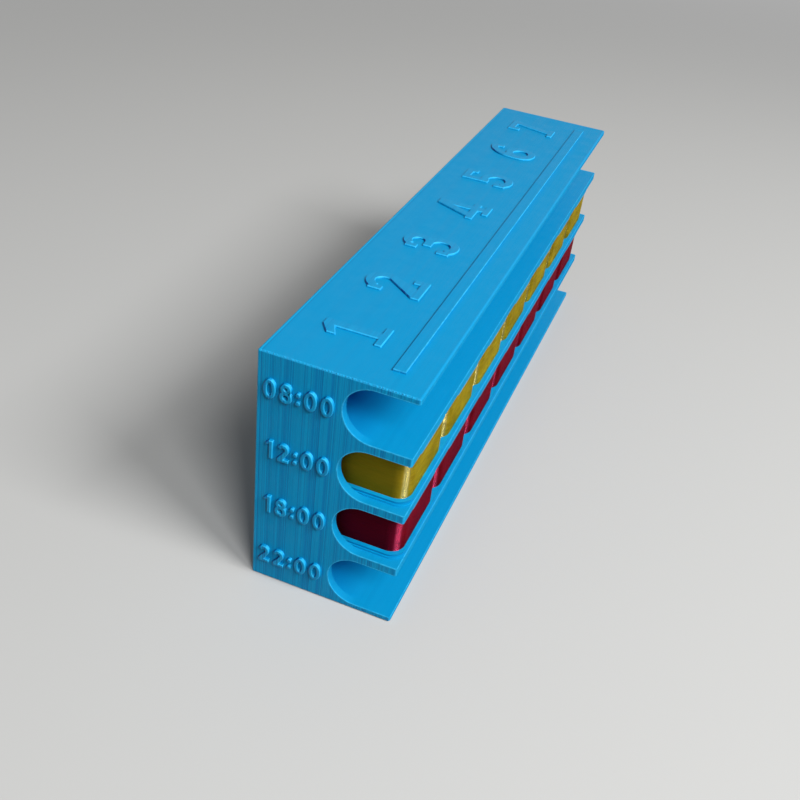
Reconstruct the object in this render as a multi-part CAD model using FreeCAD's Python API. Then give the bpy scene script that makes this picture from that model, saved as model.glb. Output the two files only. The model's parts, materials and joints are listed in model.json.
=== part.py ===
import FreeCAD, Part
import os

# Daily pill organizer: a printed holder with four slots that are open along the front.
# Two of the slots hold a tray of seven lidded cups, and the other two are empty.
# All sizes are in millimetres. X runs along the holder, with the numbered end at -X,
# Y runs from the open front at -Y to the closed back, and Z is up.
# The origin is the centre of the holder's underside.

# Cups of a tray
cup_count = 7
cup_length = 26.3
cup_depth = 36.0
cup_height = 13.7
cup_wall = 1.6
cup_floor = 1.0
cup_corner_radius = 4.0
cup_gap = 1.0
web_inset = 4.0

# Sliding lid of a cup, which runs in a dovetail groove
lid_thickness = 2.0
lid_below_rim = 0.1
lid_side_clearance = 0.2
lid_end_clearance = 0.3
lid_bearing_width = 0.9
dovetail_run = 1.2
lip_reach = 0.5
lip_corner_radius = 1.6
ledge_thickness = 1.0
groove_end_wall = 2.0
thumb_groove_radius = 9.0
thumb_groove_depth = 0.7
thumb_groove_length = 11.0
thumb_groove_from_front = 7.0

# Foot plate under the cups
plate_thickness = 1.1
plate_corner_radius = 4.2
plate_lower_edge = 0.5
plate_edge_step = 0.3
end_rim = 1.4
side_rim = 1.0

# Running clearances of a tray in its slot
tray_front_inset = 0.1
tray_back_clearance = 0.3
tray_end_clearance = 0.15
tray_top_clearance = 0.4

# Holder, with its slots named from the bottom up
slot_names = ("bedtime", "evening", "noon", "morning")
tray_names = ("evening", "noon")
skin = 1.6
shelf = 2.4
end_wall = 2.4
notch_depth = 18.2
edge_chamfer = 0.4
bar_height = 0.5
bar_width = 3.2
bar_from_front = 6.6
bar_from_end = 7.4

# Sizes that follow from the ones above
slot_count = len(slot_names)
cup_pitch = cup_length + cup_gap
tray_length = cup_count * cup_pitch - cup_gap
tray_height = plate_thickness + cup_height
plate_length = tray_length + 2 * end_rim
plate_depth = cup_depth + 2 * side_rim
slot_length = plate_length + 2 * tray_end_clearance
slot_depth = tray_front_inset + plate_depth + tray_back_clearance
slot_height = tray_height + tray_top_clearance
slot_pitch = slot_height + shelf
holder_length = slot_length + 2 * end_wall
holder_depth = slot_depth + skin
holder_height = slot_count * slot_pitch - shelf + 2 * skin
front_y = -holder_depth / 2
plate_front_y = front_y + tray_front_inset
cup_front_y = plate_front_y + side_rim
cup_back_y = cup_front_y + cup_depth
seat_below_rim = lid_thickness + lid_below_rim
lip_width = cup_length - 2 * cup_corner_radius
lid_base_width = lip_width + 2 * dovetail_run
mouth_length = lid_base_width - 2 * lid_bearing_width
inner_length = cup_length - 2 * cup_wall
inner_depth = cup_depth - 2 * cup_wall
inner_radius = cup_corner_radius - cup_wall
shoulder = (inner_length - mouth_length) / 2
mouth_depth = inner_depth - 2 * shoulder
groove_back_y = cup_back_y - groove_end_wall
lid_back_y = groove_back_y - lid_end_clearance
lid_front_y = cup_front_y - lip_reach


def slot_floor(slot):
    """Height of the floor of a slot, counted from the bottom one, which is slot 0."""
    return skin + slot * slot_pitch


def cup_centre_x(number):
    """Middle of a cup along the tray, where cup 1 is the one at -X."""
    return (number - 1 - (cup_count - 1) / 2) * cup_pitch


def rounded_wire(centre_x, centre_y, length, depth, radius, z):
    """Closed outline of a rectangle with round corners, level at height z."""
    right = FreeCAD.Vector(length / 2, 0, 0)
    back = FreeCAD.Vector(0, depth / 2, 0)
    side = FreeCAD.Vector(radius, 0, 0)
    rear = FreeCAD.Vector(0, radius, 0)
    middle = FreeCAD.Vector(centre_x, centre_y, z)
    inner_x = right - side
    inner_y = back - rear
    slant = radius / 2 ** 0.5
    edges = []
    for sign_x, sign_y in ((1, 1), (-1, 1), (-1, -1), (1, -1)):
        corner = middle + inner_x * sign_x + inner_y * sign_y
        on_side = corner + side * sign_x
        on_end = corner + rear * sign_y
        mid = corner + FreeCAD.Vector(slant * sign_x, slant * sign_y, 0)
        start, stop = (on_side, on_end) if sign_x == sign_y else (on_end, on_side)
        if edges:
            edges.append(Part.LineSegment(edges[-1].Vertexes[-1].Point, start).toShape())
        edges.append(Part.Arc(start, mid, stop).toShape())
    edges.append(Part.LineSegment(edges[-1].Vertexes[-1].Point, edges[0].Vertexes[0].Point).toShape())
    return Part.Wire(edges)


def rounded_prism(centre_x, centre_y, length, depth, radius, low, high):
    """Upright block with round vertical corners."""
    outline = rounded_wire(centre_x, centre_y, length, depth, radius, low)
    return Part.Face(outline).extrude(FreeCAD.Vector(0, 0, high - low))


def box_between(low, high):
    """Plain block given by its lowest and highest corners."""
    size = FreeCAD.Vector(*high) - FreeCAD.Vector(*low)
    return Part.makeBox(size.x, size.y, size.z, FreeCAD.Vector(*low))


def dovetail(centre_x, base_width, top_width, low, high, near_y, far_y):
    """Bar along Y whose section is wider at its base than at its top."""
    corners = (
        (-base_width / 2, low),
        (base_width / 2, low),
        (top_width / 2, high),
        (-top_width / 2, high),
    )
    points = [FreeCAD.Vector(centre_x + x, near_y, z) for x, z in corners]
    section = Part.Face(Part.makePolygon(points + points[:1]))
    return section.extrude(FreeCAD.Vector(0, far_y - near_y, 0))


def finger_notch(slot, low_x, high_x):
    """U-shaped cut through an end wall, as high as the slot and round at its inner end."""
    radius = slot_height / 2
    axis_y = front_y + notch_depth - radius
    axis_z = slot_floor(slot) + radius
    round_end = Part.makeCylinder(
        radius, high_x - low_x, FreeCAD.Vector(low_x, axis_y, axis_z), FreeCAD.Vector(1, 0, 0)
    )
    straight = box_between(
        (low_x, front_y - skin, slot_floor(slot)), (high_x, axis_y, slot_floor(slot) + slot_height)
    )
    return straight.fuse(round_end)


def holder():
    """Printed block with its slots, finger notches and the raised bar on top."""
    half = holder_length / 2
    block = box_between((-half, front_y, 0), (half, -front_y, holder_height))
    block = block.makeChamfer(edge_chamfer, block.Edges)
    for slot in range(slot_count):
        floor = slot_floor(slot)
        space = box_between(
            (-slot_length / 2, front_y - skin, floor),
            (slot_length / 2, front_y + slot_depth, floor + slot_height),
        )
        block = block.cut(space)
        block = block.cut(finger_notch(slot, -half - skin, 0))
        block = block.cut(finger_notch(slot, 0, half + skin))
    bar = box_between(
        (-half + bar_from_end, front_y + bar_from_front, holder_height - skin / 2),
        (half - bar_from_end, front_y + bar_from_front + bar_width, holder_height + bar_height),
    )
    return block.fuse(bar).removeSplitter()


def foot_plate(floor):
    """Plate under the cups, with a fine step half way up its edge."""
    centre_y = plate_front_y + plate_depth / 2
    lower = rounded_prism(
        0, centre_y, plate_length, plate_depth, plate_corner_radius, floor, floor + plate_lower_edge
    )
    upper = rounded_prism(
        0,
        centre_y,
        plate_length - 2 * plate_edge_step,
        plate_depth - 2 * plate_edge_step,
        plate_corner_radius - plate_edge_step,
        floor + plate_lower_edge,
        floor + plate_thickness,
    )
    return lower.fuse(upper)


def cup_space(centre_x, base):
    """Inside of a cup: it narrows by a sloping shoulder to the mouth that the lid rests round."""
    centre_y = cup_front_y + cup_depth / 2
    seat = base + cup_height - seat_below_rim
    shoulder_top = seat - ledge_thickness
    shoulder_low = shoulder_top - shoulder
    pocket = rounded_prism(
        centre_x, centre_y, inner_length, inner_depth, inner_radius, base + cup_floor, shoulder_low
    )
    wide = rounded_wire(centre_x, centre_y, inner_length, inner_depth, inner_radius, shoulder_low)
    narrow = rounded_wire(centre_x, centre_y, mouth_length, mouth_depth, inner_radius, shoulder_top)
    slope = Part.makeLoft([wide, narrow], True, True)
    mouth = rounded_prism(
        centre_x, centre_y, mouth_length, mouth_depth, inner_radius, shoulder_top, seat
    )
    return pocket.fuse([slope, mouth])


def tray(base):
    """Seven cups in a row, joined by webs, each with its dovetail groove open at the front."""
    top = base + cup_height
    seat = top - seat_below_rim
    centre_y = cup_front_y + cup_depth / 2
    numbers = range(1, cup_count + 1)
    cups = [
        rounded_prism(
            cup_centre_x(number), centre_y, cup_length, cup_depth, cup_corner_radius, base, top
        )
        for number in numbers
    ]
    web = box_between(
        (-tray_length / 2 + cup_corner_radius, cup_front_y + web_inset, base),
        (tray_length / 2 - cup_corner_radius, cup_back_y - web_inset, top),
    )
    body = web.fuse(cups).removeSplitter()
    for number in numbers:
        centre_x = cup_centre_x(number)
        groove = dovetail(
            centre_x,
            lid_base_width + 2 * lid_side_clearance,
            lip_width + 2 * lid_side_clearance,
            seat,
            top,
            cup_front_y - skin,
            groove_back_y,
        )
        body = body.cut(cup_space(centre_x, base).fuse(groove))
    return body


def lid(centre_x, seat):
    """Sliding lid: a dovetail plate whose front end is a lip that stands proud of the cup."""
    top = seat + lid_thickness
    plate = dovetail(
        centre_x, lid_base_width, lip_width, seat, top, cup_front_y, lid_back_y
    )
    lip = box_between(
        (centre_x - lip_width / 2, lid_front_y, seat), (centre_x + lip_width / 2, cup_front_y, top)
    )
    lower_corners = [
        edge
        for edge in lip.Edges
        if abs(edge.BoundBox.ZMax - seat) < 1e-6 and edge.BoundBox.YLength > lip_reach / 2
    ]
    lip = lip.makeFillet(lip_corner_radius, lower_corners)
    groove = Part.makeCylinder(
        thumb_groove_radius,
        thumb_groove_length,
        FreeCAD.Vector(
            centre_x - thumb_groove_length / 2,
            cup_front_y + thumb_groove_from_front,
            top - thumb_groove_depth + thumb_groove_radius,
        ),
        FreeCAD.Vector(1, 0, 0),
    )
    return plate.fuse(lip).removeSplitter().cut(groove)


def build():
    """All the sub-parts by name."""
    parts = {"holder": holder()}
    for name in tray_names:
        floor = slot_floor(slot_names.index(name))
        base = floor + plate_thickness
        seat = base + cup_height - seat_below_rim
        parts[name + "_foot_plate"] = foot_plate(floor)
        parts[name + "_tray"] = tray(base)
        for number in range(1, cup_count + 1):
            parts[name + "_lid_" + str(number)] = lid(cup_centre_x(number), seat)
    return parts


os.makedirs("parts", exist_ok=True)
for node, shape in build().items():
    shape.exportStep("parts/" + node + ".step")
    box = shape.BoundBox
    print(
        node,
        "valid" if shape.isValid() else "NOT VALID",
        "solids",
        len(shape.Solids),
        "volume %.1f" % shape.Volume,
        "x %.2f %.2f y %.2f %.2f z %.2f %.2f"
        % (box.XMin, box.XMax, box.YMin, box.YMax, box.ZMin, box.ZMax),
    )
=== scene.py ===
import json
import math

import bmesh
import bpy
from mathutils import Matrix, Vector
from mathutils.geometry import delaunay_2d_cdt

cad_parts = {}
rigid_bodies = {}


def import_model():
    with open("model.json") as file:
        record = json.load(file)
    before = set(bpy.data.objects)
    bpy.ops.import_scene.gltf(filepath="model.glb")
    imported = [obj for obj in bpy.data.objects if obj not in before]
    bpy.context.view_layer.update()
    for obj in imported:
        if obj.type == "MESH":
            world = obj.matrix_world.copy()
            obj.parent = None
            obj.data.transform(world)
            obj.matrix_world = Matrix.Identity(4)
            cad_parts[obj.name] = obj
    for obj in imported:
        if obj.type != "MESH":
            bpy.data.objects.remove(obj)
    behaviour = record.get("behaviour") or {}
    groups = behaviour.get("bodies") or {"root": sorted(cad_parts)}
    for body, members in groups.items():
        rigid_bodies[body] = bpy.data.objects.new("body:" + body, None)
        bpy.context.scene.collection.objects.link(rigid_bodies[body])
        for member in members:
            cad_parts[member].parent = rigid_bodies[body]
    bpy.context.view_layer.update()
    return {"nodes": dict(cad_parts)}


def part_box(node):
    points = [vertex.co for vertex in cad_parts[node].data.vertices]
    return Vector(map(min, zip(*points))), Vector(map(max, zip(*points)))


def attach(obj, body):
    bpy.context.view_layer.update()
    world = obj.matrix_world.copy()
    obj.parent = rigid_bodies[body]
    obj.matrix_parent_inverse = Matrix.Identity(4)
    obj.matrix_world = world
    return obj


bl_info = {
    "name": "Daily Pill Organizer",
    "version": (1, 0, 0),
    "blender": (4, 5, 0),
    "location": "3D View > Sidebar > Organizer",
    "description": "Finish, raised numerals, print marks and stage of a daily pill organizer",
    "category": "Object",
}

MM = 0.001

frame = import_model()
holder_low, holder_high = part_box("holder")
first_lid_low, first_lid_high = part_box("noon_lid_1")
second_lid_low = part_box("noon_lid_2")[0]
TRAY_NAMES = ("noon_tray", "evening_tray")
PLATE_NAMES = ("noon_foot_plate", "evening_foot_plate")
LID_NAMES = [node for node in frame["nodes"] if "_lid_" in node]
CUP_COUNT = len(LID_NAMES) // len(TRAY_NAMES)
noon_plate_low, evening_plate_low = (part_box(plate)[0] for plate in PLATE_NAMES)
slot_pitch = noon_plate_low.z - evening_plate_low.z

# Sizes of the holder that its box doesn't tell
NOTCH_DEPTH = 18.2 * MM
SKIN = 1.6 * MM
SHELF = 2.4 * MM
END_WALL = 2.4 * MM
BAR_HEIGHT = 0.5 * MM
BAR_WIDTH = 3.2 * MM
BAR_FROM_FRONT = 6.6 * MM
BAR_FROM_END = 7.4 * MM
top_face = holder_high.z - BAR_HEIGHT


def linear(red, green, blue):
    """A colour as it shows on a screen, in steps of 0 to 255, as the linear colour of a shader."""
    shares = (red / 255, green / 255, blue / 255)
    return tuple(s / 12.92 if s <= 0.04045 else ((s + 0.055) / 1.055) ** 2.4 for s in shares)


def opaque(colour):
    """A colour with full alpha, as shader sockets take it."""
    return (*colour, 1.0)


# Sizes and colours that a user would change


def colour_property(name, description, default):
    """A linear colour."""
    return bpy.props.FloatVectorProperty(
        name=name, description=description, subtype="COLOR", size=3, default=default
    )


def length_property(name, description, default):
    """A length in metres."""
    return bpy.props.FloatProperty(
        name=name, description=description, unit="LENGTH", default=default
    )


def power_property(name, description, default):
    """The power of a lamp in watts."""
    return bpy.props.FloatProperty(
        name=name, description=description, unit="POWER", default=default
    )


def place_property(name, description, default, subtype="TRANSLATION"):
    """A point or a size along the three axes, in metres."""
    return bpy.props.FloatVectorProperty(
        name=name, description=description, subtype=subtype, unit="LENGTH", size=3, default=default
    )


class PrintFinish(bpy.types.PropertyGroup):
    """Colours and layer sizes of the printed plastic"""

    blue: colour_property(
        "Blue", "Colour of the holder, foot plates and lids", linear(4, 154, 207)
    )
    blue_deep: colour_property(
        "Deep Blue", "Colour in the darker layers of the blue plastic", linear(1, 128, 184)
    )
    # Painted highlight: a lighter blue laid on edges, standing in for the light that catches them.
    blue_painted_highlight: colour_property(
        "Blue Painted Highlight", "Blue along the edges, where the plastic is thinnest", linear(60, 195, 245)
    )
    # Painted bounce light: a bluer colour laid deep in the slots.
    blue_painted_bounce: colour_property(
        "Blue Painted Bounce",
        "Blue deep inside the slots, where light comes by way of other blue faces",
        linear(4, 154, 226),
    )
    yellow: colour_property("Yellow", "Colour of the upper tray", linear(174, 153, 43))
    # Deep Yellow is the darker layers' tone and also the painted shade left on the cups' ends; the
    # long faces are painted towards Yellow as if lit.
    yellow_deep_and_shaded: colour_property(
        "Deep and Shaded Yellow", "Colour in the darker layers of the yellow plastic", linear(118, 93, 14)
    )
    # Painted highlight: a pale colour on the yellow cups' corners in place of the lamp's glint
    # there.
    yellow_painted_glint: colour_property(
        "Yellow Painted Glint", "Pale tone of the yellow cups' corners", linear(156, 143, 84)
    )
    red: colour_property("Red", "Colour of the lower tray", linear(116, 20, 39))
    # Deep Red is the darker layers' tone and also the painted shade left on the cups' ends; the
    # long faces are painted towards Red as if lit.
    red_deep_and_shaded: colour_property(
        "Deep and Shaded Red", "Colour in the darker layers of the red plastic", linear(70, 4, 24)
    )
    # Painted highlight: a pale colour on the red cups' corners in place of the lamp's glint there.
    red_painted_glint: colour_property(
        "Red Painted Glint", "Pale tone of the red cups' corners", linear(147, 42, 69)
    )
    layer_height: length_property("Layer Height", "Thickness of one printed layer", 0.2 * MM)
    line_width: length_property(
        "Line Width", "Width of one extruded line on the flat faces", 0.42 * MM
    )
    band_width: length_property(
        "Band Width", "Usual width of the uneven bands that the layers form", 1.1 * MM
    )
    bed_band: length_property(
        "First Layers",
        "Width of the band that the holder's first layers form along its back",
        1.1 * MM,
    )
    # Width of the painted highlight along the holder's sharp edges.
    painted_edge_line: length_property(
        "Edge Line", "Width of the lighter line along the holder's sharp edges", 0.3 * MM
    )
    fleck_size: place_property(
        "Fleck Size",
        "Size of the shining flecks in the silk plastic",
        (2.6 * MM, 2.6 * MM, 0.3 * MM),
        "XYZ",
    )


class RaisedNumerals(bpy.types.PropertyGroup):
    """Sizes of the numerals on the top and on the near end"""

    top_height: length_property("Top Height", "Height of a numeral on the top", 16.4 * MM)
    top_baseline: length_property(
        "Top Baseline",
        "Distance of the top row's baseline from the front of the holder",
        15.6 * MM,
    )
    top_relief: length_property(
        "Top Relief", "How far the numerals on the top stand out", 0.5 * MM
    )
    top_edge_round: length_property(
        "Top Edge Round", "Rounding of the top numerals' edges", 0.24 * MM
    )
    end_height: length_property("End Height", "Height of a numeral on the near end", 5.5 * MM)
    end_margin: length_property(
        "End Margin", "Distance from the front of the holder to the end numerals", 20.0 * MM
    )
    end_relief: length_property(
        "End Relief", "How far the numerals on the near end stand out", 0.9 * MM
    )
    end_edge_round: length_property(
        "End Edge Round", "Rounding of the end numerals' edges", 0.32 * MM
    )
    sunk: length_property("Sunk", "How far the numerals reach into the holder", 0.5 * MM)


class Stage(bpy.types.PropertyGroup):
    """Floor, light and camera"""

    floor: colour_property("Floor", "Colour of the floor", (0.52, 0.52, 0.51))
    floor_bounce: colour_property(
        "Floor Bounce",
        "Colour that the floor has for the light that it throws back on the organizer",
        (0.15, 0.15, 0.15),
    )
    backdrop: colour_property(
        "Backdrop", "Colour that shows beyond the floor", (0.42, 0.42, 0.42)
    )
    backdrop_from: length_property(
        "Backdrop From", "Distance at which the floor starts to turn into the backdrop", 0.3
    )
    backdrop_at: length_property(
        "Backdrop At", "Distance at which the floor has turned into the backdrop", 0.95
    )
    sky: bpy.props.FloatProperty(
        name="Sky", description="Strength of the even light from all round", default=0.16
    )
    key_power: power_property(
        "Key Power", "Power of the large lamp in front of the open side", 15.6
    )
    key_width: length_property("Key Width", "Width of the large lamp", 0.5)
    key_height: length_property("Key Height", "Height of the large lamp", 0.42)
    key_place: place_property("Key Place", "Centre of the large lamp", (-0.28, -0.9, 0.9))
    fill_power: power_property(
        "Fill Power", "Power of the soft lamp on the numbered side", 12.6
    )
    fill_size: length_property("Fill Size", "Width and height of the soft lamp", 0.4)
    fill_place: place_property("Fill Place", "Where the soft lamp stands", (-0.83, -0.66, 1.1))
    camera_place: place_property(
        "Camera Place", "Where the camera stands", (-0.26449, -0.06621, 0.19249)
    )
    camera_aim: place_property(
        "Camera Aim", "Point in the middle of the picture", (-0.05335, -0.00100, 0.03554)
    )
    camera_roll: bpy.props.FloatProperty(
        name="Camera Roll",
        description="Turn of the camera about its own axis",
        subtype="ANGLE",
        default=math.radians(7.426),
    )
    camera_lens: bpy.props.FloatProperty(
        name="Lens", description="Focal length of the camera", unit="CAMERA", default=43.73
    )


# Building nodes


class Wire:
    """What a node puts out. Sums and comparisons with it add Math nodes to its tree."""

    def __init__(self, socket):
        self.socket = socket
        self.tree = socket.id_data

    def work(self, operation, *others):
        """Result of a Math node on this wire and others."""
        return maths(self.tree, operation, self, *others)

    def __add__(self, other):
        return self.work("ADD", other)

    def __sub__(self, other):
        return self.work("SUBTRACT", other)

    def __rsub__(self, other):
        return maths(self.tree, "SUBTRACT", other, self)

    def __mul__(self, other):
        return self.work("MULTIPLY", other)

    def __truediv__(self, other):
        return self.work("DIVIDE", other)

    def __gt__(self, other):
        return self.work("GREATER_THAN", other)

    def __lt__(self, other):
        return self.work("LESS_THAN", other)

    def __abs__(self):
        return self.work("ABSOLUTE")


def join(value, socket):
    """Leads a wire into a socket, or sets the socket to a plain value."""
    if isinstance(value, Wire):
        value.tree.links.new(value.socket, socket)
    else:
        socket.default_value = value


def add_node(tree, kind, settings=None, inputs=None):
    """A node with its settings, and with its inputs set to values or joined to wires."""
    node = tree.nodes.new(kind)
    for name, value in (settings or {}).items():
        setattr(node, name, value)
    for name, value in (inputs or {}).items():
        join(value, node.inputs[name])
    return node


def wires(node):
    """All that a node puts out, by name."""
    return {socket.name: Wire(socket) for socket in node.outputs if socket.name}


def maths(tree, operation, *values):
    """Result of a Math node on plain values or wires."""
    node = add_node(tree, "ShaderNodeMath", {"operation": operation}, dict(enumerate(values)))
    return Wire(node.outputs[0])


def vector_maths(operation, output, *values):
    """An output of a Vector Math node on values, of which the first is a wire."""
    node = add_node(
        values[0].tree,
        "ShaderNodeVectorMath",
        {"operation": operation},
        dict(enumerate(values)),
    )
    return wires(node)[output]


def axes(vector):
    """The X, Y and Z of a vector."""
    node = add_node(vector.tree, "ShaderNodeSeparateXYZ", inputs={0: vector})
    return [Wire(socket) for socket in node.outputs]


def noise(place, scale, detail, roughness=0.5):
    """Soft noise from 0 to 1 in space."""
    node = add_node(
        place.tree,
        "ShaderNodeTexNoise",
        inputs={"Vector": place, "Scale": scale, "Detail": detail, "Roughness": roughness},
    )
    return wires(node)["Fac"]


def blend_values(share, first, second):
    """A mix of two numbers, of which the first is a wire."""
    node = add_node(
        first.tree,
        "ShaderNodeMix",
        {"data_type": "FLOAT"},
        {"Factor": share, "A": first, "B": second},
    )
    return Wire(node.outputs["Result"])


def blend_colours(share, first, second):
    """A mix of two colours, which a share outside 0 to 1 carries further."""
    settings = {"data_type": "RGBA", "clamp_factor": False, "clamp_result": True}
    mix = add_node(share.tree, "ShaderNodeMix", settings, {"Factor": share})
    colour_inputs = [socket for socket in mix.inputs if socket.type == "RGBA"]
    for value, socket in zip((first, second), colour_inputs):
        join(value, socket)
    return Wire(next(socket for socket in mix.outputs if socket.type == "RGBA"))


def smooth_share(value, low, high):
    """Goes smoothly from 0 at low to 1 at high."""
    node = add_node(
        value.tree,
        "ShaderNodeMapRange",
        {"interpolation_type": "SMOOTHSTEP"},
        {"Value": value, "From Min": low, "From Max": high},
    )
    return Wire(node.outputs["Result"])


def new_group(name, kind, inputs, outputs):
    """An empty node group with its named sockets, what comes in as wires, and where it puts out."""
    tree = bpy.data.node_groups.new(name, kind)
    for direction, sockets in (("INPUT", inputs), ("OUTPUT", outputs)):
        for title, socket_kind, *default in sockets:
            socket = tree.interface.new_socket(
                title, in_out=direction, socket_type="NodeSocket" + socket_kind
            )
            if default:
                socket.default_value = default[0]
    entry = tree.nodes.new("NodeGroupInput")
    return tree, wires(entry), tree.nodes.new("NodeGroupOutput").inputs


def numbers(*sockets):
    """Sockets of a group for numbers, given by name, or by name and default."""
    return [(s, "Float") if isinstance(s, str) else (s[0], "Float", s[1]) for s in sockets]


# Shader groups

# How far the sides of a printed line fall below its crown
LINE_FALL = 0.92

# Where marks end, or from where to where they fade
FIRST_LINE = 0.35 * MM
BED_GROOVE = (0.2 * MM, 0.02 * MM)
BESIDE_BAR = 0.4 * MM
PAINTED_BAR_SHADOW_FADE = (0.55 * MM, 0.1 * MM)
SLOT_INSIDE = (8.0 * MM, 24.0 * MM)

POSITION = ("Position", "Vector")
FACING = ("Facing", "Vector")


def bead_profile(distance, pitch, seed, lean):
    """Rounded bead at each pitch, which leans to either side by a draw, and that draw."""
    steps = distance / pitch
    across = steps.work("FRACT") * 2.0 - 1.0
    crown = (1.0 - across * across * LINE_FALL).work("SQRT")
    draw = add_node(
        steps.tree,
        "ShaderNodeTexWhiteNoise",
        {"noise_dimensions": "1D"},
        {"W": steps.work("FLOOR") + seed},
    )
    draw = wires(draw)["Value"] - 0.5
    return crown + draw * lean * across, draw


def printed_surface_group():
    """Surface of a print whose layers stack along Z: beads on its sides, fill lines on its flats.

    Height is in halves of a layer. Tone and Gloss are shares about 0.5; Tone also holds painted
    light along the bed band. Rim is 1 on the last layer.
    """
    tree, take, give = new_group(
        "Printed surface",
        "ShaderNodeTree",
        (
            POSITION,
            FACING,
            ("Fill Direction", "Vector"),
            *numbers(
                ("Layer Height", 0.2 * MM),
                ("Line Width", 0.42 * MM),
                ("Band Width", 1.1 * MM),
                ("Band Depth", 0.6),
                ("Lean", 0.6),
                ("Long Face Calm", 0.0),
                ("Bed Level", 0.0),
                ("Bed Band", 0.0),
                ("Seed", 0.0),
            ),
        ),
        numbers("Height", "Tone", "Gloss", "Rim"),
    )
    facing_x, _, facing_z = axes(take["Facing"])
    long_face = smooth_share(abs(facing_x), 0.9, 0.3)
    uneven = 1.0 - long_face * take["Long Face Calm"]
    level = axes(take["Position"])[2]
    beads, draw = bead_profile(level, take["Layer Height"], take["Seed"], uneven * take["Lean"])
    bands = add_node(
        tree,
        "ShaderNodeTexNoise",
        {"noise_dimensions": "1D"},
        {
            "W": level / take["Band Width"] + take["Seed"],
            "Scale": 1.0,
            "Detail": 3.0,
            "Roughness": 0.7,
        },
    )
    bands = wires(bands)["Fac"] - 0.5
    from_bed = level - take["Bed Level"]
    past_band = from_bed - take["Bed Band"]
    in_band = past_band < 0.0
    painted_first_line = (from_bed < FIRST_LINE) * in_band
    groove = smooth_share(abs(past_band), *BED_GROOVE)
    side_height = bands * (uneven * take["Band Depth"]) + beads - groove * 0.8
    streaks = bands * 2.6 + draw * 1.5
    # Painted light in the side tone: the first layers' band lighter where it catches light, a
    # painted highlight on the very first line, and painted shade in the groove beside the band.
    side_tone = streaks * uneven + 0.5 + in_band * 0.5 + painted_first_line * 1.2 - groove * 0.9

    along = vector_maths("DOT_PRODUCT", "Value", take["Position"], take["Fill Direction"])
    fill, fill_draw = bead_profile(along, take["Line Width"], take["Seed"], take["Lean"])
    flat = smooth_share(abs(facing_z), 0.85, 0.97)
    on_bed = facing_z < 0.0
    fill_height = fill * (0.5 - on_bed * 0.35)
    cloud = noise(take["Position"], 260.0, 3.0)
    fill_tone = fill_draw * 0.3 + cloud

    join(blend_values(flat, side_height, fill_height), give["Height"])
    join(blend_values(flat, side_tone, fill_tone), give["Tone"])
    join(draw * 0.4 + cloud, give["Gloss"])
    join(flat * (1.0 - on_bed), give["Rim"])


def holder_edge_group():
    """Painted highlights: lighter lines along the holder's ends, its finger notches' rims and its
    shelves' fronts.

    Share is below 0, for a painted shadow line, on the top just behind the bar where its shade
    falls. Inside is 1 far in the slots, for painted bounce light.
    """
    tree, take, give = new_group(
        "Holder edges",
        "ShaderNodeTree",
        (
            POSITION,
            FACING,
            *numbers(
                ("Half Length", 99.0 * MM),
                ("Depth", 40.0 * MM),
                ("Front", -20.0 * MM),
                ("First Slot", 9.2 * MM),
                ("Slot Pitch", 17.6 * MM),
                ("Notch Radius", 7.6 * MM),
                ("Notch Axis", -9.4 * MM),
                ("Bar Top", 71.6 * MM),
                ("Bar Front", -13.4 * MM),
                ("Bar Width", 3.2 * MM),
                ("Bar Half Length", 91.6 * MM),
                ("Edge Line", 0.3 * MM),
            ),
        ),
        numbers("Share", "Inside"),
    )
    along, inward, height = axes(take["Position"])
    facing_x, _, facing_z = axes(take["Facing"])
    end_share, up_share = abs(facing_x), abs(facing_z)
    on_end = end_share > 0.9
    sloping = smooth_share(end_share, 0.45, 0.6) * (1.0 - on_end)

    def line(distance):
        """1 on an edge, falling to 0 at the line's width from it."""
        return smooth_share(abs(distance) / take["Edge Line"], 1.0, 0.5)

    from_end = take["Half Length"] - abs(along)
    from_front = inward - take["Front"]
    slots = (height - take["First Slot"]) / take["Slot Pitch"]
    level = (slots - slots.work("ROUND")) * take["Slot Pitch"]
    past_axis = (inward - take["Notch Axis"]).work("MAXIMUM", 0.0)
    reach = add_node(tree, "ShaderNodeCombineXYZ", inputs={0: past_axis, 1: level})
    from_rim = vector_maths("LENGTH", "Value", Wire(reach.outputs[0])) - take["Notch Radius"]
    # Painted highlights: lighter lines along the ends, the fronts, the notch rims and on sloping
    # faces, in place of light catching the edges.
    share = line(from_end) * (end_share < 0.3)
    for other in (line(from_front) * (up_share > 0.9), line(from_rim) * on_end, sloping * 0.3):
        share = share.work("MAXIMUM", other)

    # Painted highlights along the bar's front and ends.
    on_bar = height > take["Bar Top"]
    from_bar_end = take["Bar Half Length"] - abs(along)
    bar_line = line(inward - take["Bar Front"]).work("MAXIMUM", line(from_bar_end))
    share = share.work("MAXIMUM", bar_line * on_bar)
    # Painted shadow: a darker line on the top just behind the bar, where the bar's shade falls.
    behind = inward - (take["Bar Front"] + take["Bar Width"])
    below_bar = take["Bar Top"] - height
    beside_bar = (abs(below_bar) < BESIDE_BAR) * up_share - on_bar
    painted_bar_shadow = smooth_share(behind, *PAINTED_BAR_SHADOW_FADE) * (behind > 0.0) * (from_bar_end > 0.0)
    share = share - painted_bar_shadow * beside_bar.work("MAXIMUM", 0.0) * 1.2
    # Breaks the painted highlights and the painted shadow line up into patches.
    patchy_painted_light = noise(take["Position"], 900.0, 2.0) * 1.6 - 0.25
    join(share * patchy_painted_light, give["Share"])

    # Inside: where the painted bounce light goes, deep in the slots.
    # Not the back, the walls of the notches, the top and the underside
    inside = smooth_share(from_front, *SLOT_INSIDE)
    for within in (
        take["Depth"] - from_front > SKIN / 2,
        from_end > END_WALL - 0.01 * MM,
        below_bar > SKIN / 2,
        height > SKIN / 2,
    ):
        inside = inside * within
    join(inside, give["Inside"])


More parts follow.
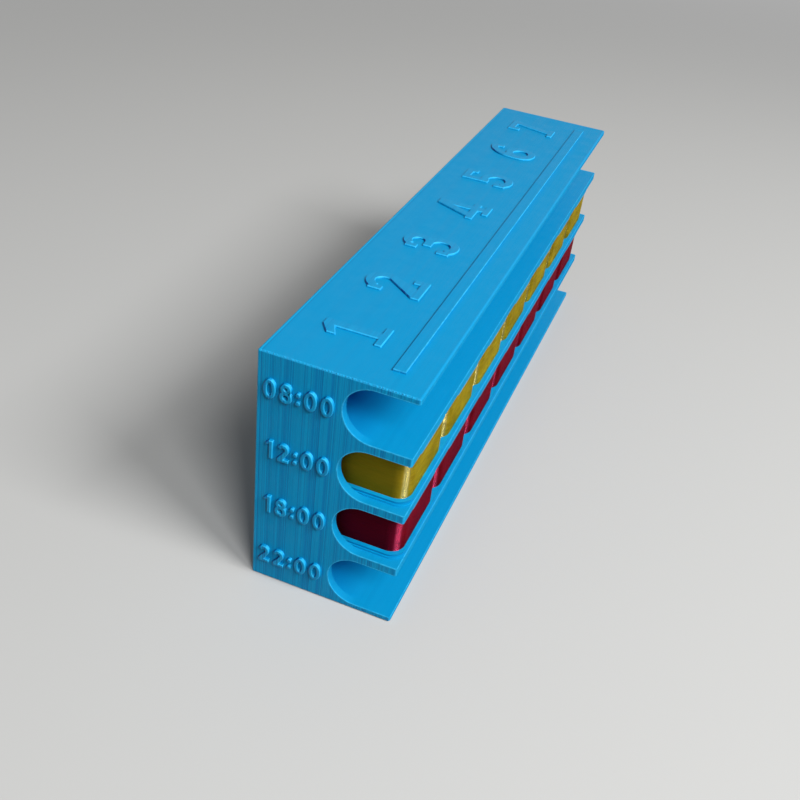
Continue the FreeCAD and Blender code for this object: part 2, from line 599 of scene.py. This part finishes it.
def round_edge_group():
    """Share of the painted highlight on a face that turns away from the axes, as the round edges of
    raised numerals do.

    It is below 0, for a painted shade line, on the side that the holder's back is on, which faces
    away from the lamps.
    """
    tree, take, give = new_group(
        "Round edges", "ShaderNodeTree", (POSITION, FACING), numbers("Share")
    )
    facing = axes(take["Facing"])
    along, across, up = (abs(share) for share in facing)
    edge = smooth_share(along.work("MAXIMUM", across).work("MAXIMUM", up), 0.98, 0.85)
    painted_rear_shade = smooth_share(facing[1], 0.1, 0.5)
    # Breaks the painted highlights and shade up into patches.
    patchy_painted_light = noise(take["Position"], 700.0, 2.0) * 0.8 + 0.05
    join(edge * (1.0 - painted_rear_shade * 2.6) * patchy_painted_light, give["Share"])


def silk_group():
    """Small shining facets and soft clouds of silk plastic, with its corners and long faces.

    Height is in halves of a layer. Corner and Long Face are shares from 0 to 1.
    """
    tree, take, give = new_group(
        "Silk flecks",
        "ShaderNodeTree",
        (
            POSITION,
            FACING,
            ("Fleck Size", "Vector"),
            *numbers(("Facet Depth", 3.0)),
        ),
        numbers("Height", "Clouds", "Flecks", "Corner", "Long Face"),
    )
    facing_x, facing_y, _ = axes(take["Facing"])
    along, across = abs(facing_x), abs(facing_y)
    long_face = smooth_share(along, 0.95, 0.45)
    scaled = vector_maths("DIVIDE", "Vector", take["Position"], take["Fleck Size"])
    rows = vector_maths("SNAP", "Vector", scaled, (0.02, 0.02, 1.0))
    apart = vector_maths("MULTIPLY", "Vector", rows, (1.0, 1.0, 7.3))
    flecks = noise(apart, 1.0, 1.0) * 2.0 - 0.5
    join(flecks * take["Facet Depth"] * (long_face * 0.8 + 0.2), give["Height"])
    join(smooth_share(along * across, 0.42, 0.49), give["Corner"])
    join(long_face, give["Long Face"])
    join(noise(take["Position"], 130.0, 3.0, 0.6), give["Clouds"])
    join(flecks, give["Flecks"])


# Materials

LYING_ON_ITS_BACK = (math.radians(-90), 0.0, 0.0)
UPRIGHT = (0.0, 0.0, 0.0)
DIAGONAL = (math.sqrt(0.5), math.sqrt(0.5), 0.0)


def use_group(tree, name, inputs):
    """All that a shader group puts out in a material."""
    group = bpy.data.node_groups[name]
    return wires(add_node(tree, "ShaderNodeGroup", {"node_tree": group}, inputs))


def silk_tone_with_painted_light(tone, surface, silk, painted_face_light):
    """Tone of silk plastic with painted light: the long faces painted lighter than the ends as if
    lit, with painted sparkle where its flecks and clouds show.
    """
    tone = blend_values(0.4, tone, silk["Flecks"])
    tone = blend_values(0.75 - silk["Long Face"] * 0.75, tone, 0.5)
    # Painted light: long faces lighter, ends left deep, like lit and shaded copies of the silk.
    tone = blend_values(painted_face_light, tone, silk["Long Face"])
    # Painted sparkle and sheen: flecks and clouds lighten the long faces as glints and soft
    # reflections would, but not the rim.
    painted_sparkle = silk["Flecks"] + silk["Clouds"] * 2.0 - 1.4
    return painted_sparkle * (silk["Long Face"] - surface["Rim"]) * 0.9 + tone


def printed_material(name, colours, look):
    """Printed plastic. look["turn"] turns the object's axes so that its layers stack along Z."""
    finish = bpy.context.scene.print_finish
    material = bpy.data.materials.new(name)
    material.use_nodes = True
    tree = material.node_tree
    shader = tree.nodes["Principled BSDF"]
    coordinates = wires(add_node(tree, "ShaderNodeTexCoord"))
    turned = {}
    for title, output in (("Position", "Object"), ("Facing", "Normal")):
        mapping = add_node(
            tree,
            "ShaderNodeMapping",
            {"vector_type": "POINT"},
            {"Vector": coordinates[output], "Rotation": look["turn"]},
        )
        turned[title] = Wire(mapping.outputs[0])
    surface = use_group(
        tree,
        "Printed surface",
        {
            **turned,
            "Fill Direction": DIAGONAL,
            "Layer Height": finish.layer_height,
            "Line Width": finish.line_width,
            "Band Width": finish.band_width,
            "Band Depth": look["band_depth"],
            "Lean": look["lean"],
            "Long Face Calm": look.get("calm", 0.0),
            "Bed Level": look.get("bed_level", -1.0),
            "Bed Band": look.get("bed_band", 0.0),
            "Seed": look["seed"],
        },
    )
    tone, gloss, height = surface["Tone"], surface["Gloss"], surface["Height"]
    silk = None
    if "fleck_size" in look:
        flecks = {"Fleck Size": look["fleck_size"], "Facet Depth": look["facet_depth"]}
        silk = use_group(tree, "Silk flecks", {**turned, **flecks})
        tone = silk_tone_with_painted_light(tone, surface, silk, look["painted_face_light"])
        gloss = blend_values(0.4, gloss, silk["Clouds"])
        height = height + silk["Height"]
    base = blend_colours(tone, opaque(colours[0]), opaque(colours[1]))
    if silk:
        # Painted highlight: the pale glint colour laid on the corners.
        base = blend_colours(silk["Corner"], base, opaque(look["painted_glint"]))
    if "edges" in look:
        group, sizes = look["edges"]
        place = {"Position": coordinates["Object"], "Facing": coordinates["Normal"]}
        edges = use_group(tree, group, {**place, **sizes})
        # Painted bounce light: a bluer colour deep in the slots.
        if "inside" in look:
            base = blend_colours(edges["Inside"], base, opaque(look["inside"]))
        # Painted highlights along edges, and painted shade lines where the edge share is below 0.
        base = blend_colours(edges["Share"], base, opaque(finish.blue_painted_highlight))
    join(base, shader.inputs["Base Color"])
    limits = dict(zip(("To Min", "To Max"), look["roughness"]))
    rough = add_node(
        tree,
        "ShaderNodeMapRange",
        inputs={"Value": gloss, "From Min": 0.2, "From Max": 0.8, **limits},
    )
    rough = Wire(rough.outputs["Result"])
    if silk:
        rough = blend_values(silk["Corner"], rough, look["corner_roughness"])
    if "rim_roughness" in look:
        rough = blend_values(surface["Rim"], rough, look["rim_roughness"])
    join(rough, shader.inputs["Roughness"])
    depth = finish.layer_height / 2 * look["fullness"]
    bump = add_node(
        tree, "ShaderNodeBump", inputs={"Strength": 1.0, "Distance": depth, "Height": height}
    )
    join(wires(bump)["Normal"], shader.inputs["Normal"])
    for socket, value in look["shader"].items():
        shader.inputs[socket].default_value = value
    return material


def dress(material, *nodes):
    """Gives CAD nodes a material in all their slots."""
    for name in nodes:
        part = frame["nodes"][name]
        if not part.material_slots:
            part.data.materials.append(material)
        for slot in part.material_slots:
            slot.material = material


# Glyphs of the raised numerals, in shares of their height

ADVANCES = {":": 0.24, "1": 0.50, "4": 0.68}
USUAL_ADVANCE = 0.62
DOT_RADIUS = 0.12
DOT_STEPS = 24
RING_STEPS = 56


def outline(*corners):
    """Closed outline through some corners."""
    return [Vector(corner) for corner in corners]


def stroke_arc(centre, outer, start, end, width, steps=28):
    """Stroke inside an ellipse, from one angle in degrees up to another."""
    points = []
    for inset, order in ((0, range(steps + 1)), (width, range(steps, -1, -1))):
        for step in order:
            angle = math.radians(start + (end - start) * step / steps)
            across = (outer[0] - inset) * math.cos(angle)
            up = (outer[1] - inset) * math.sin(angle)
            points.append(Vector((centre[0] + across, centre[1] + up)))
    return points


def ring(centre, outer, width):
    """Stroke all the way round inside an ellipse."""
    return stroke_arc(centre, outer, 0, 360, width, RING_STEPS)


def dot(height):
    """Round dot of a colon: the outer half of a stroke that fills its circle."""
    circle = (DOT_RADIUS, DOT_RADIUS)
    stroke = stroke_arc((DOT_RADIUS, height), circle, 0, 360, DOT_RADIUS, DOT_STEPS)
    return stroke[: DOT_STEPS + 1]


def block(left, low, right, high, lean=0.0):
    """Bar with level ends. Its upper end lies further right by lean."""
    return outline((left, low), (right, low), (right + lean, high), (left + lean, high))


def glyph_strokes(sign, stem, slab):
    """Outlines that together make a digit or colon. Slab is the thickness of its serifs, or 0."""
    half = stem / 2
    bar = stem * 0.9
    wide = stem * 1.1
    bow = stroke_arc((0.30, 0.70), (0.29, 0.30), -34, 165, stem)
    shapes = {
        "0": [ring((0.31, 0.5), (0.31, 0.5), stem)],
        "1": [
            block(0.36 - half, 0, 0.36 + half, 1),
            outline((0.08, 0.70), (0.36, 0.84), (0.36, 1.0), (0.36 - half, 1.0), (0.08, 0.86)),
        ],
        "2": [
            bow,
            outline((0.02, 0.02), (0.25, 0.02), bow[0], bow[-1], (0.02, bar)),
            block(0.02, 0, 0.60, bar),
        ],
        "3": [
            stroke_arc((0.29, 0.73), (0.27, 0.27), -96, 152, stem),
            stroke_arc((0.29, 0.315), (0.30, 0.315), -152, 96, stem),
            block(0.17, 0.46, 0.29, 0.46 + stem),
        ],
        "4": [
            block(0.47 - half, 0, 0.47 + half, 1),
            block(0, 0.21, wide, 1, lean=0.47 + half - wide),
            block(0, 0.21, 0.68, 0.21 + bar),
        ],
        "5": [
            block(0.09, 1 - bar, 0.57, 1),
            block(0.09, 0.46, 0.09 + bar, 1),
            stroke_arc((0.28, 0.325), (0.32, 0.325), -150, 116, stem),
        ],
        "6": [
            ring((0.31, 0.315), (0.31, 0.315), stem),
            stroke_arc((0.49, 0.36), (0.49, 0.64), 84, 184, stem),
        ],
        "7": [
            block(0.03, 1 - bar, 0.61, 1),
            block(0.14, 0, 0.14 + wide, 1, lean=0.47 - wide),
        ],
        "8": [
            ring((0.31, 0.73), (0.265, 0.27), stem),
            ring((0.31, 0.315), (0.31, 0.315), stem),
        ],
        ":": [dot(0.20), dot(0.62)],
    }[sign]
    serifs = {
        "1": [block(0.10, 0, 0.62, slab)],
        "2": [block(0.60 - slab, 0, 0.60, 0.27), block(0.015, 0.64, 0.015 + slab, 0.88)],
        "3": [block(0.02, 0.68, 0.02 + slab, 0.90), block(0, 0.10, slab, 0.33)],
        "4": [block(0.28, 0, 0.66, slab)],
        "5": [block(0.57 - slab, 0.76, 0.57, 1), block(0, 0.10, slab, 0.33)],
        "6": [block(0.58 - slab, 0.72, 0.58, 0.965)],
        "7": [block(0.03, 0.74, 0.03 + slab, 1), block(0.04, 0, 0.44, slab)],
    }
    return shapes + (serifs.get(sign, []) if slab else [])


def text_strokes(text, stem, slab, gap, anchor):
    """Strokes of a text of digits and colons, whose share given by anchor lies left of x 0."""
    strokes = []
    reach = 0.0
    for sign in text:
        for stroke in glyph_strokes(sign, stem, slab):
            strokes.append([point + Vector((reach, 0)) for point in stroke])
        reach += ADVANCES.get(sign, USUAL_ADVANCE) + gap
    shift = Vector(((reach - gap) * anchor, 0))
    return [[point - shift for point in stroke] for stroke in strokes]


def glyph_mesh(name, strokes, height, low, high):
    """Closed block in the outline of overlapping strokes, from z low to z high."""
    points = [point * height for stroke in strokes for point in stroke]
    faces = []
    first = 0
    for stroke in strokes:
        faces.append(list(range(first, first + len(stroke))))
        first += len(stroke)
    merge_distance = height / 300
    flat_points, _, triangles, _, _, strokes_below = delaunay_2d_cdt(
        points, [], faces, 0, merge_distance, True
    )
    mesh = bmesh.new()
    vertices = [mesh.verts.new((point.x, point.y, low)) for point in flat_points]
    for triangle, covered in zip(triangles, strokes_below):
        if covered:
            mesh.faces.new([vertices[index] for index in triangle])
    floor = list(mesh.faces)
    lifted = bmesh.ops.extrude_face_region(mesh, geom=floor, use_keep_orig=True)
    moved = [item for item in lifted["geom"] if isinstance(item, bmesh.types.BMVert)]
    bmesh.ops.translate(mesh, verts=moved, vec=(0, 0, high - low))
    bmesh.ops.dissolve_limit(
        mesh, angle_limit=math.radians(1), verts=mesh.verts, edges=mesh.edges
    )
    bmesh.ops.recalc_face_normals(mesh, faces=mesh.faces)
    return plain_mesh(name, mesh)


def plain_mesh(name, mesh):
    """Turns a mesh that is being built into a finished one."""
    data = bpy.data.meshes.new(name)
    mesh.to_mesh(data)
    mesh.free()
    return data


def soften(piece, width, steps):
    """Rounds the sharp edges of a piece in a number of steps."""
    bevel = piece.modifiers.new("Edge round", "BEVEL")
    bevel.width = width
    bevel.segments = steps
    bevel.limit_method = "ANGLE"
    bevel.angle_limit = math.radians(50)
    bevel.use_clamp_overlap = False
    make_plain(piece)


def make_plain(piece):
    """Replaces a piece's mesh by what its modifiers make of it, and removes them."""
    graph = bpy.context.evaluated_depsgraph_get()
    mesh = bpy.data.meshes.new_from_object(piece.evaluated_get(graph), depsgraph=graph)
    piece.modifiers.clear()
    piece.data = mesh
    mesh.name = piece.name


def add_object(name, data):
    """A new object in the scene."""
    piece = bpy.data.objects.new(name, data)
    bpy.context.scene.collection.objects.link(piece)
    return piece


# Geometry Nodes trees


def row_tree():
    """Places the members of a collection along a line, one each, in the order of their names."""
    tree, take, give = new_group(
        "Members in a row",
        "GeometryNodeTree",
        (
            ("Geometry", "Geometry"),
            ("Members", "Collection"),
            ("Count", "Int", 1),
            ("Start", "Vector"),
            ("Step", "Vector"),
            ("Turn", "Rotation"),
            ("Material", "Material"),
        ),
        (("Geometry", "Geometry"),),
    )
    line = add_node(
        tree,
        "GeometryNodeMeshLine",
        {"mode": "OFFSET"},
        {"Count": take["Count"], "Start Location": take["Start"], "Offset": take["Step"]},
    )
    members = add_node(
        tree,
        "GeometryNodeCollectionInfo",
        {"transform_space": "ORIGINAL"},
        {"Collection": take["Members"], "Separate Children": True, "Reset Children": True},
    )
    placing = {
        "Points": wires(line)["Mesh"],
        "Instance": wires(members)["Instances"],
        "Pick Instance": True,
        "Rotation": take["Turn"],
    }
    finish_tree(tree, placing, take["Material"], give["Geometry"])


def bead_tree():
    """Small beads of plastic at uneven places along a straight edge."""
    tree, take, give = new_group(
        "Beads along an edge",
        "GeometryNodeTree",
        (
            ("Geometry", "Geometry"),
            ("Start", "Vector"),
            ("End", "Vector"),
            *numbers(("Spacing", 0.6 * MM), ("Bead Size", 0.1 * MM), ("Wander", 0.3 * MM)),
            ("Seed", "Int", 0),
            ("Material", "Material"),
        ),
        (("Geometry", "Geometry"),),
    )
    edge = add_node(
        tree,
        "GeometryNodeCurvePrimitiveLine",
        inputs={"Start": take["Start"], "End": take["End"]},
    )
    points = add_node(
        tree,
        "GeometryNodeCurveToPoints",
        {"mode": "LENGTH"},
        {"Curve": wires(edge)["Curve"], "Length": take["Spacing"]},
    )
    along = add_node(
        tree,
        "FunctionNodeRandomValue",
        {"data_type": "FLOAT"},
        {2: -1.0, 3: 1.0, "Seed": take["Seed"]},
    )
    shift = add_node(
        tree,
        "ShaderNodeVectorMath",
        {"operation": "SCALE"},
        {0: wires(points)["Tangent"], "Scale": Wire(along.outputs[1]) * take["Wander"]},
    )
    moved = add_node(
        tree,
        "GeometryNodeSetPosition",
        inputs={"Geometry": wires(points)["Points"], "Offset": wires(shift)["Vector"]},
    )
    bead = add_node(
        tree,
        "GeometryNodeMeshIcoSphere",
        inputs={"Radius": take["Bead Size"], "Subdivisions": 2},
    )
    size = add_node(
        tree,
        "FunctionNodeRandomValue",
        {"data_type": "FLOAT_VECTOR"},
        {0: (0.5, 0.6, 0.5), 1: (1.0, 1.6, 1.0), "Seed": take["Seed"]},
    )
    placing = {
        "Points": wires(moved)["Geometry"],
        "Instance": wires(bead)["Mesh"],
        "Scale": Wire(size.outputs[0]),
    }
    finish_tree(tree, placing, take["Material"], give["Geometry"])


def finish_tree(tree, placing, material, end):
    """Puts an instance on each point and ends a tree in Realize Instances and Set Material."""
    tree.is_modifier = True
    placed = add_node(tree, "GeometryNodeInstanceOnPoints", inputs=placing)
    real = add_node(
        tree, "GeometryNodeRealizeInstances", inputs={"Geometry": wires(placed)["Instances"]}
    )
    painted = add_node(
        tree,
        "GeometryNodeSetMaterial",
        inputs={"Geometry": wires(real)["Geometry"], "Material": material},
    )
    join(wires(painted)["Geometry"], end)


def run_tree(name, tree, values):
    """A new plain mesh object that a tree makes from nothing but its input values."""
    piece = add_object(name, bpy.data.meshes.new(name))
    modifier = piece.modifiers.new(tree.name, "NODES")
    modifier.node_group = tree
    sockets = {
        item.name: item.identifier
        for item in tree.interface.items_tree
        if item.item_type == "SOCKET" and item.in_out == "INPUT"
    }
    for title, value in values.items():
        modifier[sockets[title]] = value
    make_plain(piece)
    return piece


def raised_row(name, texts, letter, height, relief, edge, row):
    """Raised texts in a row. letter holds what text_strokes asks for, in shares of the height."""
    numerals = bpy.context.scene.raised_numerals
    collection = bpy.data.collections.new(name + "_shapes")
    for order, text in enumerate(texts):
        shape_name = "%s_%02d" % (name, order)
        strokes = text_strokes(text, **letter)
        shape = glyph_mesh(shape_name, strokes, height, -numerals.sunk, relief)
        collection.objects.link(bpy.data.objects.new(shape_name, shape))
    material = bpy.data.materials["blue_numeral_print"]
    piece = run_tree(
        name,
        bpy.data.node_groups["Members in a row"],
        {"Members": collection, "Count": len(texts), "Material": material, **row},
    )
    for shape in list(collection.objects):
        bpy.data.objects.remove(shape)
    bpy.data.collections.remove(collection)
    soften(piece, *edge)
    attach(piece, "holder")


# Operators


def blue_material(name, specular, look):
    """Blue plastic, whose reflections are bluish too."""
    finish = bpy.context.scene.print_finish
    shader = {"Specular IOR Level": specular, "Specular Tint": (0.35, 0.85, 1.0, 1.0)}
    return printed_material(name, (finish.blue_deep, finish.blue), {**look, "shader": shader})


def holder_edges(finish):
    """Sizes and places that the holder's painted edge highlights, painted shadow line and painted
    bounce light ask for.
    """
    slot_radius = (slot_pitch - SHELF) / 2
    return {
        "Half Length": holder_high.x,
        "Depth": holder_high.y - holder_low.y,
        "Front": holder_low.y,
        "First Slot": evening_plate_low.z - slot_pitch + slot_radius,
        "Slot Pitch": slot_pitch,
        "Notch Radius": slot_radius,
        "Notch Axis": holder_low.y + NOTCH_DEPTH - slot_radius,
        "Bar Top": holder_high.z - BAR_HEIGHT / 2,
        "Bar Front": holder_low.y + BAR_FROM_FRONT,
        "Bar Width": BAR_WIDTH,
        "Bar Half Length": holder_high.x - BAR_FROM_END,
        "Edge Line": finish.painted_edge_line,
    }


class FinishHolder(bpy.types.Operator):
    """Give the holder and its numerals blue plastic, with layers that stack from back to front"""

    bl_idname = "organizer.finish_holder"
    bl_label = "Finish Holder"

    def execute(self, context):
        finish = context.scene.print_finish
        holder_look = {
            "turn": LYING_ON_ITS_BACK,
            "fullness": 0.45,
            "band_depth": 1.8,
            "lean": 1.0,
            "calm": 0.88,
            "bed_level": -holder_high.y,
            "bed_band": finish.bed_band,
            "seed": 3.0,
            "roughness": (0.4, 0.58),
            "rim_roughness": 0.9,
            # Painted bounce light deep in the slots.
            "inside": finish.blue_painted_bounce,
            "edges": ("Holder edges", holder_edges(finish)),
        }
        numeral_look = {
            "turn": LYING_ON_ITS_BACK,
            "fullness": 0.3,
            "band_depth": 0.6,
            "lean": 0.6,
            "calm": 0.6,
            "seed": 29.0,
            "roughness": (0.34, 0.5),
            # Painted highlights on the rounded edges, painted shade on their rear side.
            "edges": ("Round edges", {}),
        }
        dress(blue_material("blue_holder_print", 0.3, holder_look), "holder")
        blue_material("blue_numeral_print", 0.4, numeral_look)
        return {"FINISHED"}


def dress_upright(name, seed, nodes):
    """Gives CAD nodes blue plastic whose layers stack upwards."""
    look = {
        "turn": UPRIGHT,
        "fullness": 0.45,
        "band_depth": 0.8,
        "lean": 0.5,
        "seed": seed,
        "roughness": (0.34, 0.5),
    }
    dress(blue_material(name, 0.3, look), *nodes)


class FinishFootPlates(bpy.types.Operator):
    """Give the foot plates their blue plastic, with layers that stack upwards"""

    bl_idname = "organizer.finish_foot_plates"
    bl_label = "Finish Foot Plates"

    def execute(self, context):
        dress_upright("blue_plate_print", 11.0, PLATE_NAMES)
        return {"FINISHED"}


class FinishLids(bpy.types.Operator):
    """Give the sliding lids their blue plastic, with layers that stack upwards"""

    bl_idname = "organizer.finish_lids"
    bl_label = "Finish Lids"

    def execute(self, context):
        dress_upright("blue_lid_print", 27.0, LID_NAMES)
        return {"FINISHED"}


class FinishTrays(bpy.types.Operator):
    """Give the two trays their silk plastic"""

    bl_idname = "organizer.finish_trays"
    bl_label = "Finish Trays"

    def execute(self, context):
        finish = context.scene.print_finish
        silk = {
            "turn": UPRIGHT,
            "fullness": 1.3,
            "band_depth": 0.4,
            "lean": 0.5,
            "roughness": (0.36, 0.5),
            "fleck_size": finish.fleck_size,
            "facet_depth": 1.0,
            # How far the long faces are painted lighter than the ends.
            "painted_face_light": 0.6,
            "corner_roughness": 0.27,
        }
        yellow = (finish.yellow_deep_and_shaded, finish.yellow)
        red = (finish.red_deep_and_shaded, finish.red)
        kinds = (
            ("yellow_silk_print", yellow, finish.yellow_painted_glint, 41.0, (1.0, 0.8, 0.1)),
            ("red_silk_print", red, finish.red_painted_glint, 59.0, (1.0, 0.12, 0.25)),
        )
        for tray, (name, colours, painted_glint, seed, tint) in zip(TRAY_NAMES, kinds):
            shader = {"Metallic": 0.95, "Specular IOR Level": 0.8, "Specular Tint": opaque(tint)}
            look = {**silk, "seed": seed, "painted_glint": painted_glint, "shader": shader}
            dress(printed_material(name, colours, look), tray)
        return {"FINISHED"}


class AddTopNumerals(bpy.types.Operator):
    """Raise a slab-serif numeral on the top over each cup"""

    bl_idname = "organizer.add_top_numerals"
    bl_label = "Add Top Numerals"

    def execute(self, context):
        numerals = context.scene.raised_numerals
        pitch = second_lid_low.x - first_lid_low.x
        first_centre = (first_lid_low.x + first_lid_high.x) / 2
        raised_row(
            "top_numerals",
            [str(number + 1) for number in range(CUP_COUNT)],
            {"stem": 0.165, "slab": 0.125, "gap": 0.0, "anchor": 0.5},
            numerals.top_height,
            numerals.top_relief,
            (numerals.top_edge_round, 1),
            {
                "Start": (first_centre, holder_low.y + numerals.top_baseline, top_face),
                "Step": (pitch, 0.0, 0.0),
                "Turn": (0.0, 0.0, 0.0),
            },
        )
        return {"FINISHED"}


SLOT_HOURS = ("08:00", "12:00", "18:00", "22:00")
HOUR_ABOVE_FLOOR = 4.5 * MM


class AddEndNumerals(bpy.types.Operator):
    """Raise the hour of each slot on the near end, beside its finger notch"""

    bl_idname = "organizer.add_end_numerals"
    bl_label = "Add End Numerals"

    def execute(self, context):
        numerals = context.scene.raised_numerals
        top_slot = noon_plate_low.z + slot_pitch
        raised_row(
            "end_numerals",
            SLOT_HOURS,
            {"stem": 0.205, "slab": 0.0, "gap": 0.14, "anchor": 1.0},
            numerals.end_height,
            numerals.end_relief,
            (numerals.end_edge_round, 3),
            {
                "Start": (
                    holder_low.x,
                    holder_low.y + numerals.end_margin,
                    top_slot + HOUR_ABOVE_FLOOR,
                ),
                "Step": (0.0, 0.0, -slot_pitch),
                "Turn": (math.radians(90), 0.0, math.radians(-90)),
            },
        )
        return {"FINISHED"}


# Beads along the near upper edge
BEAD_SPACING = 0.8 * MM
BEAD_RADIUS = 0.2 * MM
BEAD_WANDER = 0.3 * MM
BEAD_INSET = 0.2 * MM
BEAD_END_GAP = 1.0 * MM


class AddEdgeBeads(bpy.types.Operator):
    """Scatter the beads that the layers leave along the near upper edge"""

    bl_idname = "organizer.add_edge_beads"
    bl_label = "Add Edge Beads"

    def execute(self, context):
        side, level = holder_low.x + BEAD_INSET, top_face - BEAD_INSET
        piece = run_tree(
            "edge_beads",
            bpy.data.node_groups["Beads along an edge"],
            {
                "Start": (side, holder_low.y + BEAD_END_GAP, level),
                "End": (side, holder_high.y - BEAD_END_GAP, level),
                "Spacing": BEAD_SPACING,
                "Bead Size": BEAD_RADIUS,
                "Wander": BEAD_WANDER,
                "Seed": 5,
                "Material": bpy.data.materials["blue_numeral_print"],
            },
        )
        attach(piece, "holder")
        return {"FINISHED"}


class SetStage(bpy.types.Operator):
    """Lay the floor, and set the lamps and the camera"""

    bl_idname = "organizer.set_stage"
    bl_label = "Set Stage"

    def execute(self, context):
        stage = context.scene.stage
        add_floor(stage)
        add_sky(stage)
        add_lamp("key", stage.key_power, (stage.key_width, stage.key_height), stage.key_place)
        add_lamp("fill", stage.fill_power, (stage.fill_size, stage.fill_size), stage.fill_place)
        add_camera(stage)
        context.scene.view_settings.view_transform = "Standard"
        return {"FINISHED"}


# Stage

FLOOR_HALF_SIDE = 6.0


def looked_at(tree):
    """1 where the camera sees a thing straight, in a reflection or through glass."""
    path = wires(add_node(tree, "ShaderNodeLightPath"))
    seen = path["Is Camera Ray"].work("MAXIMUM", path["Is Glossy Ray"])
    return seen.work("MAXIMUM", path["Is Transmission Ray"])


def add_floor(stage):
    """A wide plain floor under the organizer, which turns into the backdrop far from it."""
    mesh = bmesh.new()
    corners = ((-1, -1), (1, -1), (1, 1), (-1, 1))
    mesh.faces.new(
        [mesh.verts.new((x * FLOOR_HALF_SIDE, y * FLOOR_HALF_SIDE, 0)) for x, y in corners]
    )
    floor = add_object("floor", plain_mesh("floor", mesh))
    material = bpy.data.materials.new("pale_floor")
    material.use_nodes = True
    tree = material.node_tree
    shader = tree.nodes["Principled BSDF"]
    seen = looked_at(tree)
    shown = blend_colours(seen, opaque(stage.floor_bounce), opaque(stage.floor))
    join(shown, shader.inputs["Base Color"])
    shader.inputs["Roughness"].default_value = 0.7
    shader.inputs["Specular IOR Level"].default_value = 0.2
    place = wires(add_node(tree, "ShaderNodeTexCoord"))["Object"]
    away = vector_maths("LENGTH", "Value", place)
    far = smooth_share(away, stage.backdrop_from, stage.backdrop_at)
    glow = add_node(
        tree, "ShaderNodeEmission", inputs={"Color": opaque(stage.backdrop), "Strength": 1.0}
    )
    surface = add_node(
        tree,
        "ShaderNodeMixShader",
        inputs={0: far * seen, 1: Wire(shader.outputs[0]), 2: Wire(glow.outputs[0])},
    )
    join(Wire(surface.outputs[0]), tree.nodes["Material Output"].inputs["Surface"])
    floor.data.materials.append(material)


def add_sky(stage):
    """Even light from all round, behind which the camera sees the backdrop."""
    world = bpy.data.worlds.new("studio")
    world.use_nodes = True
    tree = world.node_tree
    tree.nodes.clear()
    lit, shown = (
        add_node(
            tree, "ShaderNodeBackground", inputs={"Color": opaque(colour), "Strength": strength}
        )
        for colour, strength in (((1.0, 1.0, 1.0), stage.sky), (stage.backdrop, 1.0))
    )
    choice = add_node(
        tree,
        "ShaderNodeMixShader",
        inputs={0: looked_at(tree), 1: Wire(lit.outputs[0]), 2: Wire(shown.outputs[0])},
    )
    add_node(tree, "ShaderNodeOutputWorld", inputs={"Surface": Wire(choice.outputs[0])})
    bpy.context.scene.world = world


def place_facing(thing, place, aim, roll=0.0):
    """Sets a lamp or camera at a place, facing a point, and turned about its own axis."""
    place = Vector(place)
    look = (Vector(aim) - place).to_track_quat("-Z", "Y").to_matrix().to_4x4()
    thing.matrix_world = Matrix.Translation(place) @ look @ Matrix.Rotation(roll, 4, "Z")


def add_lamp(name, power, size, place):
    """A rectangular lamp that faces the middle of the holder."""
    lamp = bpy.data.lights.new(name, "AREA")
    lamp.shape = "RECTANGLE"
    lamp.size, lamp.size_y = size
    lamp.energy = power
    middle = (0, 0, (holder_low.z + holder_high.z) / 2)
    place_facing(add_object(name, lamp), place, middle)


def add_camera(stage):
    """The camera, as the photograph was taken."""
    data = bpy.data.cameras.new("camera")
    data.lens = stage.camera_lens
    data.clip_start = 0.01
    camera = add_object("camera", data)
    place_facing(camera, stage.camera_place, stage.camera_aim, stage.camera_roll)
    bpy.context.scene.camera = camera


# Panel and registration


class OrganizerPanel(bpy.types.Panel):
    """Lists the sizes, colours and steps"""

    bl_idname = "VIEW3D_PT_organizer"
    bl_label = "Daily Pill Organizer"
    bl_space_type = "VIEW_3D"
    bl_region_type = "UI"
    bl_category = "Organizer"

    def draw(self, context):
        for group_name in PROPERTY_GROUPS:
            group = getattr(context.scene, group_name)
            box = self.layout.box()
            for name in group.bl_rna.properties.keys():
                if name not in ("rna_type", "name"):
                    box.prop(group, name)
        for step in STEPS:
            self.layout.operator(step.bl_idname)


STEPS = (
    FinishHolder,
    FinishFootPlates,
    FinishLids,
    FinishTrays,
    AddTopNumerals,
    AddEndNumerals,
    AddEdgeBeads,
    SetStage,
)
PROPERTY_GROUPS = {
    "print_finish": PrintFinish,
    "raised_numerals": RaisedNumerals,
    "stage": Stage,
}


def register():
    for name, group in PROPERTY_GROUPS.items():
        bpy.utils.register_class(group)
        setattr(bpy.types.Scene, name, bpy.props.PointerProperty(type=group))
    for step in (*STEPS, OrganizerPanel):
        bpy.utils.register_class(step)


def unregister():
    for step in (*STEPS, OrganizerPanel):
        bpy.utils.unregister_class(step)
    for name, group in PROPERTY_GROUPS.items():
        delattr(bpy.types.Scene, name)
        bpy.utils.unregister_class(group)


def main():
    """Registers the add-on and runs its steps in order."""
    register()
    printed_surface_group()
    holder_edge_group()
    round_edge_group()
    silk_group()
    row_tree()
    bead_tree()
    for step in STEPS:
        section, name = step.bl_idname.split(".")
        getattr(getattr(bpy.ops, section), name)()


if __name__ == "__main__":
    main()
